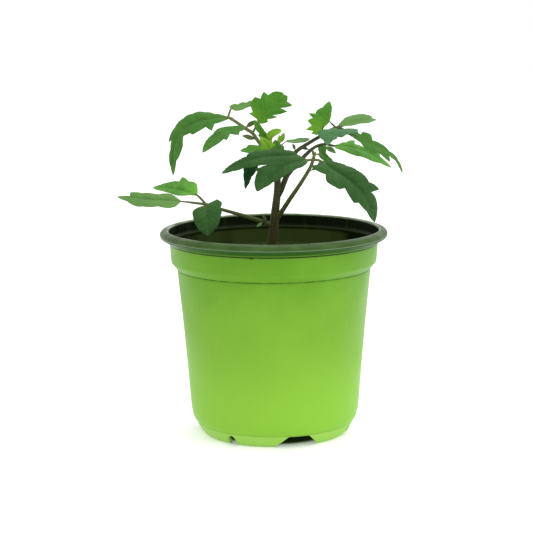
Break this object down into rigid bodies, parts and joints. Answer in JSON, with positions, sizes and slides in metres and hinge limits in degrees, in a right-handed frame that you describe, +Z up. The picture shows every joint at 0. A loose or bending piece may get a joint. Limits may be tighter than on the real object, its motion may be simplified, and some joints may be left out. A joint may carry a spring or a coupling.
{
  "type": "potted tomato plant",
  "caption": "Young tomato plant with toothed compound leaves in a round tapered plastic nursery pot of soil, standing on its foot ring.",
  "frame": {"origin": "centre of the pot's foot, on the surface that it stands on", "axes": "+Z up along the pot's axis, -Y towards the plant's front"},
  "size_m": [0.1752, 0.14, 0.21],
  "materials": {
    "pot_plastic": "smooth moulded lime green plastic with an olive rim and inside",
    "potting_soil": "dark crumbly potting mix",
    "stem_skin": "dark purple-brown hairy stem",
    "leaf_green": "matt dark green leaf with paler veins",
    "young_leaf_green": "soft yellow-green young leaf"
  },
  "bodies": {
    "root": {"pot": "pot_plastic", "soil": "potting_soil", "main_stem": "stem_skin", "leaf_a": "leaf_green", "leaf_b": "leaf_green", "leaf_c": "leaf_green", "leaf_d": "leaf_green", "leaf_e": "leaf_green", "leaf_f": "leaf_green", "shoot_tip": "young_leaf_green"}
  },
  "joints": []
}
